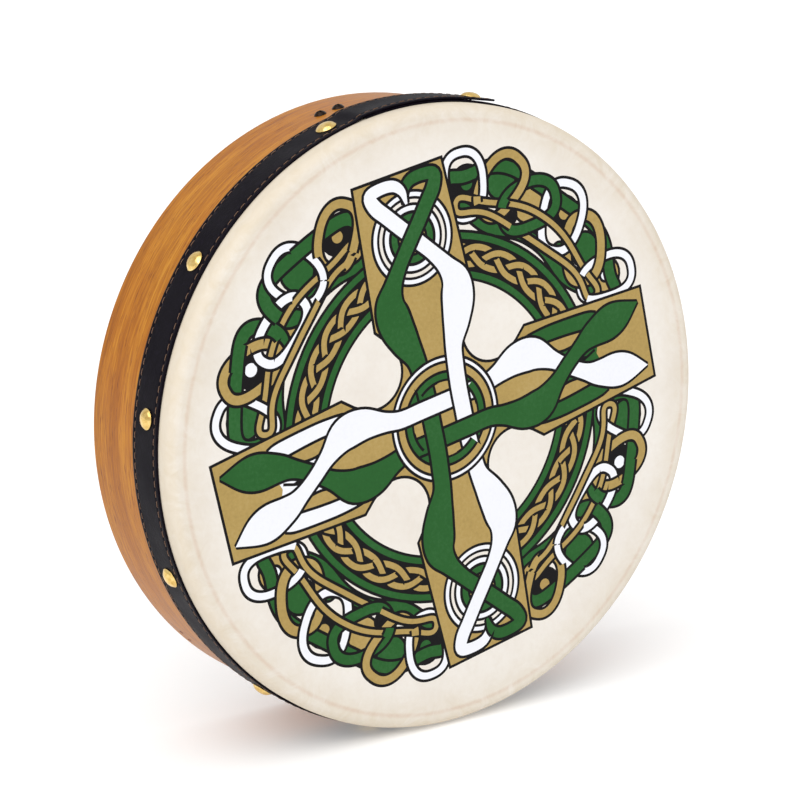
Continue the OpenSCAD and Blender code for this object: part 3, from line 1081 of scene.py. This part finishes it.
def build_floor():
    """A pale floor. Its faint glow keeps the shadow as light as in the photo."""
    material = new_material("studio_floor", Roughness=0.7, Base_Color=(0.84, 0.84, 0.84, 1),
                            Emission_Color=(1, 1, 1, 1), Emission_Strength=0.2)[0]
    mesh = bpy.data.meshes.new("floor")
    corners = [(FLOOR_HALF * x, FLOOR_HALF * y, 0) for x, y in ((-1, -1), (1, -1), (1, 1), (-1, 1))]
    mesh.from_pydata(corners, [], [(0, 1, 2, 3)])
    mesh.materials.append(material)
    floor = bpy.data.objects.new("floor", mesh)
    bpy.context.scene.collection.objects.link(floor)


SKY_STRENGTH = 0.8
SUN_ENERGY = 1.45
SUN_SPREAD = math.radians(60)
SUN_FROM = (-0.45, -0.35, 0.82)
KEY_PLACE = (-1.5, -2.0, 1.9)
KEY_SIZE = 1.6
KEY_WATTS = 8


def build_light():
    """A white sky, a soft sun from the upper left, and a weak key light aimed at the drum."""
    world = bpy.data.worlds.new("studio")
    bpy.context.scene.world = world
    world.use_nodes = True
    background = world.node_tree.nodes["Background"]
    background.inputs["Color"].default_value = (1, 1, 1, 1)
    background.inputs["Strength"].default_value = SKY_STRENGTH
    sun = bpy.data.lights.new("soft_sun", "SUN")
    sun.energy = SUN_ENERGY
    sun.angle = SUN_SPREAD
    lamp = bpy.data.objects.new("soft_sun", sun)
    lamp.rotation_euler = Vector(SUN_FROM).to_track_quat("Z", "Y").to_euler()
    bpy.context.scene.collection.objects.link(lamp)
    key = bpy.data.lights.new("key", "AREA")
    key.shape = "RECTANGLE"
    key.size = key.size_y = KEY_SIZE
    key.energy = KEY_WATTS
    lamp = bpy.data.objects.new("key", key)
    lamp.location = KEY_PLACE
    aim = Vector((0, 0, CENTRE_Z)) - Vector(KEY_PLACE)
    lamp.rotation_euler = aim.to_track_quat("-Z", "Y").to_euler()
    bpy.context.scene.collection.objects.link(lamp)


# The camera fitted to the photo's outlines: its turn and pitch, its distance in skin radii, its
# lens and sensor in millimetres, and how far its line of sight leans right and up of the head
CAMERA_TURN = math.radians(35.2)
CAMERA_PITCH = math.radians(13.49)
CAMERA_DISTANCE = 7.616
LENS = 109.0
SENSOR = 36.0
SIGHT_RIGHT = -0.02074
SIGHT_UP = 0.00958


def build_camera():
    """Looks at the head from the front left and a little above, through a long lens."""
    turn, pitch, distance = CAMERA_TURN, CAMERA_PITCH, CAMERA_DISTANCE * SKIN_R
    forward = Vector((math.sin(turn) * math.cos(pitch), math.cos(turn) * math.cos(pitch),
                      -math.sin(pitch)))
    right = Vector((math.cos(turn), -math.sin(turn), 0))
    up = right.cross(forward)
    head = Vector((0, HEAD_Y, CENTRE_Z))
    camera = bpy.data.objects.new("camera", bpy.data.cameras.new("camera"))
    camera.data.lens = LENS
    camera.data.sensor_width = SENSOR
    camera.data.clip_start = 0.01
    sight = (forward + SIGHT_RIGHT * right + SIGHT_UP * up).normalized()
    side = (right - right.dot(sight) * sight).normalized()
    camera.matrix_world = Matrix.Translation(head - distance * forward) @ Matrix(
        (side, side.cross(sight), -sight)).transposed().to_4x4()
    bpy.context.scene.collection.objects.link(camera)
    bpy.context.scene.camera = camera


build_camera()
build_light()
build_floor()
build_skin()
build_cover()
build_tape()
build_stitches("front_stitches", ROW_OFFSETS[0], "front_stitching")
build_stitches("back_stitches", ROW_OFFSETS[1], "back_stitching")
build_tacks()
bpy.context.scene.view_settings.view_transform = "Standard"
